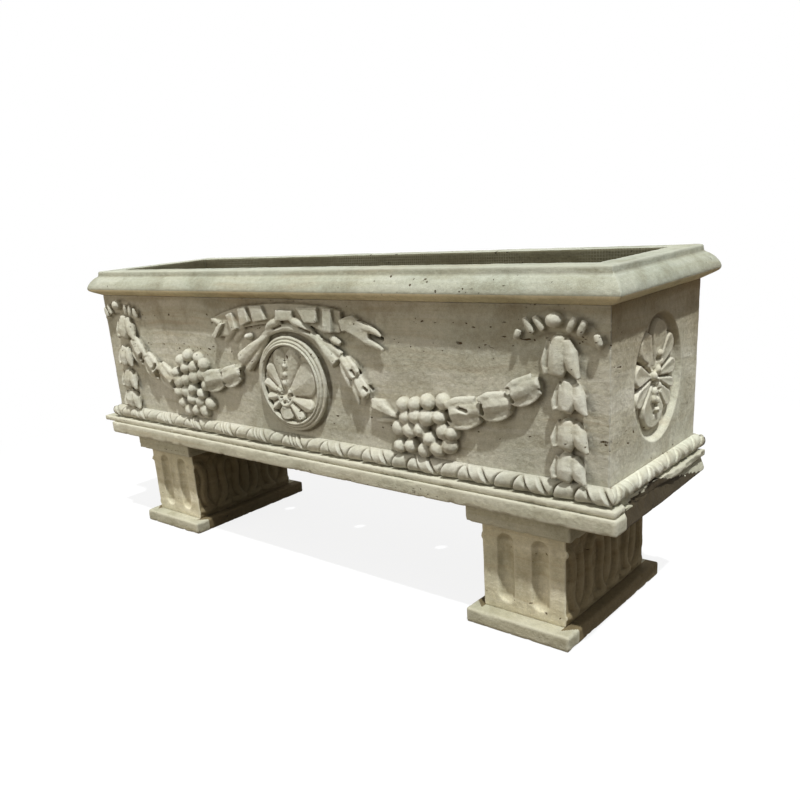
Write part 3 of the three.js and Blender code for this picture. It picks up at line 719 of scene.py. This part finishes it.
def frontPanel():
    whole = fuse([wallSlab(halfLong, 12)] + frontPieces(), "front_panel_carved", carvedStep)
    x, y, radius = frontCarving["medallion"]
    inner = radius - frontCarving["ring"]
    rings = [(inner - (index + 0.5) * frontCarving["ringSpacing"], 1.3, 2.6) for index in range(3)]
    turnGrooves(whole, x, y, rings + [(radius + 3, 3.0, 2.0)])
    carveRosette(whole, medallionFlower)
    drill(whole, frontCarving["drilled"])
    roughen(whole, 22, wall["ripple"])
    roughen(whole, 7, 0.9)
    cutToSize(whole, halfLong, 5)
    return whole


def endPanel(name):
    slab = wallSlab(halfDeep, 24)
    cutter = add(bpy.ops.mesh.primitive_cone_add, vertices=72, radius1=1 - 0.05, radius2=1 + 0.06, depth=1)
    place(cutter, Matrix.Translation((recess["x"] * mm, recess["y"] * mm, 0)) @ Matrix.Diagonal(
        (recess["halfWidth"] * mm, recess["halfHeight"] * mm, 2 * recess["depth"] * mm, 1)))
    cutWith(slab, cutter)
    knots = [blob(x, y, -6, 13, 14, 15, fine=2) for x, y in recessFlower["knots"]]
    whole = fuse([slab] + knots, name, carvedStep)
    carveRosette(whole, recessFlower)
    drill(whole, recess["drilled"])
    roughen(whole, 22, wall["ripple"])
    cutToSize(whole, halfDeep, 18)
    return whole


def backPanel():
    whole = fuse([wallSlab(halfLong, 12)], "back_panel_sawn", 5)
    roughen(whole, 30, 0.8)
    cutToSize(whole, halfLong, 5)
    return whole


for side, panel in [("front", frontPanel()), ("right_end", endPanel("right_end_panel_carved")),
                    ("back", backPanel()), ("left_end", endPanel("left_end_panel_carved"))]:
    turn, halfLength, offset = sideTurns[side]
    backInMesh(panel)
    place(panel, sideMatrix(turn, offset, wallBottom, boxMiddle))
    face = litEndTravertine if "end" in side else carvedTravertine
    finish(panel, side + "_panel", [face, meshBacked], 190000 if side == "front" else 70000)
print("walls carved")

# Rims: cove, rounded nose, fillet and flat top

rim = {
    "profile": [(-36, 0), (0, 0), (5, 2.5), (11, 5.5), (17, 8.5), (21.5, 11.5), (23, 14.5), (22.6, 18), (20, 24.5),
                (15, 31.5), (8, 37.5), (2.5, 40), (2, 41), (2, 49), (0.5, 51), (-35, 51), (-36, 50)],  # outwards and up
    "step": 3.2,
    "spare": 30,  # mm past each mitre, sawn off
}


# Points along a section, no further apart than the step
def spaced(points, step):
    result = []
    for index, (x, y) in enumerate(points):
        nextX, nextY = points[(index + 1) % len(points)]
        parts = max(1, round(math.hypot(nextX - x, nextY - y) / step))
        result += [(x + (nextX - x) * i / parts, y + (nextY - y) * i / parts) for i in range(parts)]
    return result


def rimPiece(name, halfLength):
    section = spaced(rim["profile"], rim["step"])
    bar = add(bpy.ops.mesh.primitive_circle_add, vertices=len(section), radius=1, fill_type="NGON")
    length = 2 * (halfLength + rim["spare"])
    for vertex, (out, up) in zip(bar.data.vertices, section):
        vertex.co = (-length / 2 * mm, up * mm, out * mm)
    bpy.ops.object.mode_set(mode="EDIT")
    bpy.ops.mesh.select_all(action="SELECT")
    bpy.ops.mesh.extrude_region_move(TRANSFORM_OT_translate={"value": (length * mm, 0, 0)})
    bpy.ops.object.mode_set(mode="OBJECT")
    whole = fuse([bar], name, 2.6)
    roughen(whole, 26, 1.2)
    saw(whole, mitres(halfLength) + [((0, 0.2, 0), (0, -1, 0))])
    return whole


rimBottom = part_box("front_rim")[0][2]
for side, (turn, halfLength, offset) in sideTurns.items():
    piece = rimPiece(side + "_rim_moulded", halfLength)
    backInMesh(piece)
    for face in piece.data.polygons:  # the cove, which faces down and out, takes the warm stain with painted bounce light
        if face.normal.y < -0.15 and face.normal.z > -0.8:
            face.material_index = 2
    place(piece, sideMatrix(turn, offset, rimBottom, boxMiddle))
    finish(piece, side + "_rim", [rimTravertine, meshBacked, coveTravertine])
print("rims moulded")

# Torus: bands of ribbon and overlapping leaves round a half-round bar

torus = {
    "height": 29, "reach": 15.5, "pitch": 100, "band": 28, "slant": 13, "groove": 6.6,
    "leaves": [(31, 26), (64, 24)],  # where a leaf's edge starts at the foot and how far it leans
    "start": 25,           # mm of the pattern at the middle of a side
    "step": 1.5, "rows": 24,
    "cut": {"front": (1.0, 60), "right_end": (0.42, -200)},  # how deep, and to where its ribbons have ribs
}


# Carved height over the bar at x; across runs from -1 at the foot to 1 at the top
def torusHeightAt(x, across, softness, ribbed):
    rise = (across + 1) / 2
    u = (x + across * torus["slant"]) % torus["pitch"]
    band = torus["band"]
    edge = min(u, abs(u - band), torus["pitch"] - u)
    groove = math.exp(-(edge / 2.7) ** 2)
    if u < band:
        height = 2.2 + 1.6 * math.exp(-((min(u, band - u) - 5) / 2.5) ** 2)
        if ribbed:
            groove = max([groove] + [0.8 * math.exp(-((u - band * share) / 1.2) ** 2) for share in (1 / 3, 2 / 3)])
    else:
        flat = (x - torus["slant"]) % torus["pitch"]
        height = 0.8 - 3.4 * (u - band) / (torus["pitch"] - band)
        foot = 1.0
        for start, lean in torus["leaves"]:
            past = flat - start - lean * (1 - math.sqrt(max(0.0, 1 - rise * rise)))
            if past > 0:
                height = max(-2.6, 4.2 - 0.2 * past)
                foot = (past - 17) / 17
            groove = max(groove, 0.95 * math.exp(-((past + 2.2) / 2.6) ** 2))
        # the foot of each leaf hangs in a round
        height -= 5 * max(0.0, 0.3 * min(1.0, foot * foot) - rise)
    return softness * (height - torus["groove"] * groove)


def torusPiece(name, halfLength, softness, ribbedTo):
    length = 2 * (halfLength + 18)
    strip = add(bpy.ops.mesh.primitive_grid_add, x_subdivisions=round(length / (torus["step"] * coarse)),
                y_subdivisions=torus["rows"], size=1)
    strip.name = name
    half = torus["height"] / 2
    core = torus["reach"] - 2.8
    for vertex in strip.data.vertices:
        x = vertex.co.x * length
        across = 2 * vertex.co.y
        angle = across * math.pi / 2
        ribbed = x < ribbedTo and x % (2 * torus["pitch"]) > 60
        lift = torusHeightAt(x + torus["start"], across, softness, ribbed) * max(0.0, math.cos(angle)) ** 0.4
        lift += 0.5 * noise.noise(Vector((x, across * 20, torus["start"])) / 9)
        up = half + (half - 1.2 + 0.4 * lift) * math.sin(angle)
        out = resinJoint + (core + lift) * math.cos(angle)
        vertex.co = (x * mm, up * mm, out * mm)
    bpy.ops.object.mode_set(mode="EDIT")
    bpy.ops.mesh.select_all(action="SELECT")
    bpy.ops.mesh.region_to_loop()
    bpy.ops.mesh.extrude_region_move(TRANSFORM_OT_translate={"value": (0, 0, -6 * mm)})
    bpy.ops.mesh.edge_face_add()
    bpy.ops.mesh.select_all(action="SELECT")
    bpy.ops.mesh.normals_make_consistent(inside=False)
    bpy.ops.object.mode_set(mode="OBJECT")
    saw(strip, mitres(halfLength) + [((0, 0, resinJoint), (0, 0, -1)), ((0, 0.2, 0), (0, -1, 0))])
    bpy.ops.object.shade_smooth()
    return strip


for side, (turn, halfLength, offset) in sideTurns.items():
    piece = torusPiece(side + "_torus_carved", halfLength, *torus["cut"].get(side, (1.0, -1e9)))
    place(piece, sideMatrix(turn, offset, wallBottom, boxMiddle))
    finish(piece, side + "_torus", [litEndTorusTravertine if side == "right_end" else carvedTravertine])
print("torus carved")

# Slabs and pedestals

slabs = {"ledge_slab": (2.8, 0.9), "plinth_slab": (3.2, 1.2)}  # mm between points, how deep the arrises are chipped
sawnNodes = list(slabs)
slabs.update({f"{hand}_pedestal_{part}": (2.56, 1.0) for part in ("base", "cap") for hand in ("left", "right")})
drains = {"diameter": 30, "spacing": 220}
arris = {"reach": 9, "bite": 4, "wave": 0.16}  # mm
brokenEnd = {
    "from": 32, "start": 9, "fall": 9, "taper": 7,  # mm
    "depths": (-121, -60, -26, 165), "levels": (-13, -4, 2, -38),  # where the painted shadow starts, front to back
}


# Wears the arrises of a slab: the nearer an edge, the deeper the noise bites
def weather(obj, low, high, chip):
    obj.data.update()
    normals = [vertex.normal.copy() for vertex in obj.data.vertices]
    for vertex, normal in zip(obj.data.vertices, normals):
        gaps = sorted(min(vertex.co[axis] - low[axis], high[axis] - vertex.co[axis]) for axis in range(3))
        near = max(0.0, 1 - gaps[1] / (arris["reach"] * mm))
        bite = max(0.0, noise.noise(vertex.co * 46) + 0.6 * noise.noise(vertex.co * 150) - 0.12)
        wave = abs(noise.noise(vertex.co * 18))
        vertex.co -= normal * mm * (near * near * bite * chip * arris["bite"] + wave * arris["wave"])


# The right end of ledge and plinth was never sawn: it falls back, ragged, under the torus
def breakEnd(obj, node, low, high):
    torusEdge = boxMiddle + (halfLong + torus["reach"]) * mm
    for vertex in obj.data.vertices:
        start = min(1.0, max(0.0, ((vertex.co.y - low.y) / mm - brokenEnd["from"]) / brokenEnd["start"]))
        if start == 0 or vertex.co.x < torusEdge - 12 * mm:
            continue
        level = (vertex.co.z - low.z) / (high.z - low.z)
        ragged = noise.noise(vertex.co * 50) + 0.3 * noise.noise(vertex.co * 120)
        if node == "ledge_slab":
            wanted = torusEdge + (min(3.0, vertex.co.y / mm / 12) - 3 - 4 * ragged) * mm
        else:
            wanted = high.x - (1.2 + (brokenEnd["fall"] + 4 * ragged) * max(0.0, level - 0.12)
                               + brokenEnd["taper"] * (vertex.co.y - low.y) / (high.y - low.y)) * mm
        vertex.co.x += start * min(0.0, wanted - vertex.co.x)


# Painted shadow lies below a ragged line on the end; above it the break keeps the plain stone
def paintEndShadow(obj, low):
    for face in obj.data.polygons:
        depth, level = face.center.y / mm, (face.center.z - wallBottom) / mm
        ragged = 6 * noise.noise(face.center * 45) + 1.5 * noise.noise(face.center * 130)
        onEnd = face.center.x > boxMiddle + halfLong * mm and depth > low.y / mm + brokenEnd["from"] + ragged
        below = level < np.interp(depth, brokenEnd["depths"], brokenEnd["levels"]) + ragged
        face.material_index = 1 if onEnd and below else 0


def slabFor(node, low, high):
    step, chip = slabs[node]
    middle = (low + high) / 2
    size = high - low
    slab = block(middle, size)
    addModifier(slab, "BEVEL", width=1.2 * mm, segments=2)
    if node in sawnNodes:
        for index in (-1, 0, 1):
            cutter = add(bpy.ops.mesh.primitive_cylinder_add, vertices=32, radius=drains["diameter"] / 2 * mm,
                         depth=3 * size.z)
            place(cutter, Matrix.Translation((boxMiddle + index * drains["spacing"] * mm, middle.y, middle.z)))
            cutWith(slab, cutter)
    whole = fuse([slab], node + "_sawn", step, 0)
    weather(whole, low, high, chip)
    if node in sawnNodes:
        breakEnd(whole, node, low, high)
        paintEndShadow(whole, low)
    return whole


for node in slabs:
    low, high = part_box(node)
    piece = slabFor(node, low, high)
    if "base" in node:  # painted shadow on the end and beside it, behind the first 14 mm, with a slanting edge
        for face in piece.data.polygons:
            onEnd = abs(face.center.x - (low.x + high.x) / 2) - 72 * mm
            face.material_index = 1 if onEnd > 0 and face.center.y > low.y + 14 * mm + onEnd else 0
    if node in sawnNodes:
        finish(piece, node, [sawnTravertine, paintedEndShadow])
    else:
        finish(piece, node, [pedestalTravertine, shadedBaseTravertine])
print("slabs sawn")

# Shafts: two round-ended flutes on the faces, palmettes on the ends

shaft = {"width": 148, "fluteWidth": 32, "fluteDepth": 10, "fluteSpacing": 62, "margin": 15}
# leaves on one side of a palmette's stem: how far from it, up, out, radius
palmette = [
    [(4, 12, 0, 5), (24, 26, 2, 8), (33, 50, 2, 8), (24, 78, 2, 8), (24, 106, 3, 8), (36, 128, 3, 8), (44, 118, 1, 4)],
    [(8, 16, 0, 8), (26, 12, 2, 9), (42, 16, 0, 5)],
    [(6, 132, 0, 6), (18, 142, 2, 6), (34, 146, 0, 4)],
]


def palmettePieces(width, shift):
    pieces = []
    for index in (-1, 0, 1):
        x = index * width / 3 + shift
        pieces.append(stroke([(x, 30, -3, 9), (x - 1, 56, 1, 14), (x, 92, 1, 14), (x, 122, -2, 8)], 0.5))
        for hand in (-1, 1):
            pieces += [stroke([(x + hand * away, up, out, radius) for away, up, out, radius in leaf], 0.6)
                       for leaf in palmette]
    return pieces


# The flutes are cut with a long round-ended cutter that goes in by their depth
def cutFlutes(stone, depth, height):
    half = shaft["fluteWidth"] / 2
    radius = (half * half + shaft["fluteDepth"] ** 2) / (2 * shaft["fluteDepth"])
    straight = height / mm - 2 * shaft["margin"] - 2 * half
    for face in (-1, 1):
        for flute in (-1, 1):
            cutter = add(bpy.ops.mesh.primitive_uv_sphere_add, segments=32, ring_count=16, radius=radius * mm)
            for vertex in cutter.data.vertices:
                vertex.co.z += math.copysign(straight / 2 * mm, vertex.co.z) if abs(vertex.co.z) > 1e-6 else 0
            place(cutter, Matrix.Translation((flute * shaft["fluteSpacing"] / 2 * mm,
                                              face * (depth / 2 + (radius - shaft["fluteDepth"]) * mm), height / 2)))
            cutWith(stone, cutter)


def shaftFor(hand, shift, low, high):
    middle = (low + high) / 2
    depth, height = high.y - low.y, high.z - low.z
    pieces = [block((0, 0, height / 2), (shaft["width"] * mm, depth, height))]
    cutFlutes(pieces[0], depth, height)
    for turn in (math.pi / 2, -math.pi / 2):
        pieces.append(joinPieces(palmettePieces(depth / mm, shift), "palmettes"))
        place(pieces[-1], sideMatrix(turn, shaft["width"] / 2))
    whole = fuse(pieces, hand + "_pedestal_shaft_carved", 2.2)
    roughen(whole, 20, 1.0)
    saw(whole, [((0, 0, resinJoint), (0, 0, -1)), ((0, 0, height / mm - resinJoint), (0, 0, 1))])
    place(whole, Matrix.Translation((middle.x, middle.y, low.z)))
    return whole


for hand, shift in (("left", 2), ("right", -2)):
    low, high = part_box(hand + "_pedestal_shaft")
    piece = shaftFor(hand, shift, low, high)
    for face in piece.data.polygons:
        outside = abs(face.center.x - (low.x + high.x) / 2) - shaft["width"] / 2 * mm
        face.material_index = 1 if outside > -1.5 * mm and abs(face.center.y) < high.y - 1.5 * mm else 0
    finish(piece, hand + "_pedestal_shaft", [flutedTravertine, darkSideTravertine])
print("shafts carved")

# Floor, light and background

lamps = {
    "sun": {"kind": "SUN", "location": (0.8, -0.9, 3), "towards": (-0.35, 0.27, -1.0),
            "energy": 3.75, "angle": math.radians(1.3), "color": (0.96, 0.99, 1.0)},
    "fill": {"kind": "AREA", "location": (-1.6, -3.0, 0.9), "towards": (1.6, 3.0, -0.6),
             "energy": 43, "size": 2.4, "color": (1.0, 0.92, 0.8)},  # a warm wall opposite
}
sky = {"horizon": 0.05, "overhead": 0.5}
ground = {"earth": "#65594a", "shadow": "#f2f2f2", "near": 0.86, "fade": (0.7, 1.6)}  # glow near it, fading in m


def addLamp(name, kind, location, towards, **settings):
    lamp = add(bpy.ops.object.light_add, type=kind, location=location)
    lamp.name = name
    lamp.rotation_euler = Vector(towards).to_track_quat("-Z", "Y").to_euler()
    for key, value in settings.items():
        setattr(lamp.data, key, value)


for name, values in lamps.items():
    addLamp(name, **values)


# True for the camera and for what gloss and glass show
def seenDirectly(tree):
    path = addNode(tree, "LightPath").outputs
    either = addNode(tree, "Math", [path["Is Camera Ray"], path["Is Glossy Ray"]], operation="MAXIMUM")
    return addNode(tree, "Math", [either, path["Is Transmission Ray"]], operation="MAXIMUM")


world = bpy.data.worlds.new("studio")
bpy.context.scene.world = world
tree = emptyTree(world)
skyward = addNode(tree, "SeparateXYZ", [addNode(tree, "TexCoord").outputs["Generated"]]).outputs["Z"]
strength = addNode(tree, "MapRange", [skyward, 0, 0.6, sky["horizon"], sky["overhead"]])
soft = addNode(tree, "Background", [(1, 1, 1, 1), strength])
white = addNode(tree, "Background", [(1, 1, 1, 1), 1.0])
addNode(tree, "OutputWorld", [addNode(tree, "MixShader", [seenDirectly(tree), soft, white])])

# What is seen of the floor is white and keeps the shadow; the stone gets its light back as from bare earth
floor = add(bpy.ops.mesh.primitive_plane_add, size=12, location=(0, 0, cadBox[0][2] - 0.0005))
floor.name = "floor"
floorMaterial = bpy.data.materials.new("pale_floor")
floor.data.materials.append(floorMaterial)
tree = emptyTree(floorMaterial)
away = addNode(tree, "VectorMath", [addNode(tree, "TexCoord").outputs["Object"]], operation="LENGTH")
far = addNode(tree, "MapRange", [away, *ground["fade"], ground["near"]], interpolation_type="SMOOTHSTEP")
pale = addNode(tree, "BsdfDiffuse", [linear(ground["shadow"])])
glow = addNode(tree, "Emission", [(1, 1, 1, 1), 1.0])
shown = addNode(tree, "MixShader", [far, pale, glow])
earth = addNode(tree, "BsdfDiffuse", [linear(ground["earth"])])
addNode(tree, "OutputMaterial", [addNode(tree, "MixShader", [seenDirectly(tree), earth, shown])])
bpy.context.scene.view_settings.view_transform = "Standard"
print("studio ready")
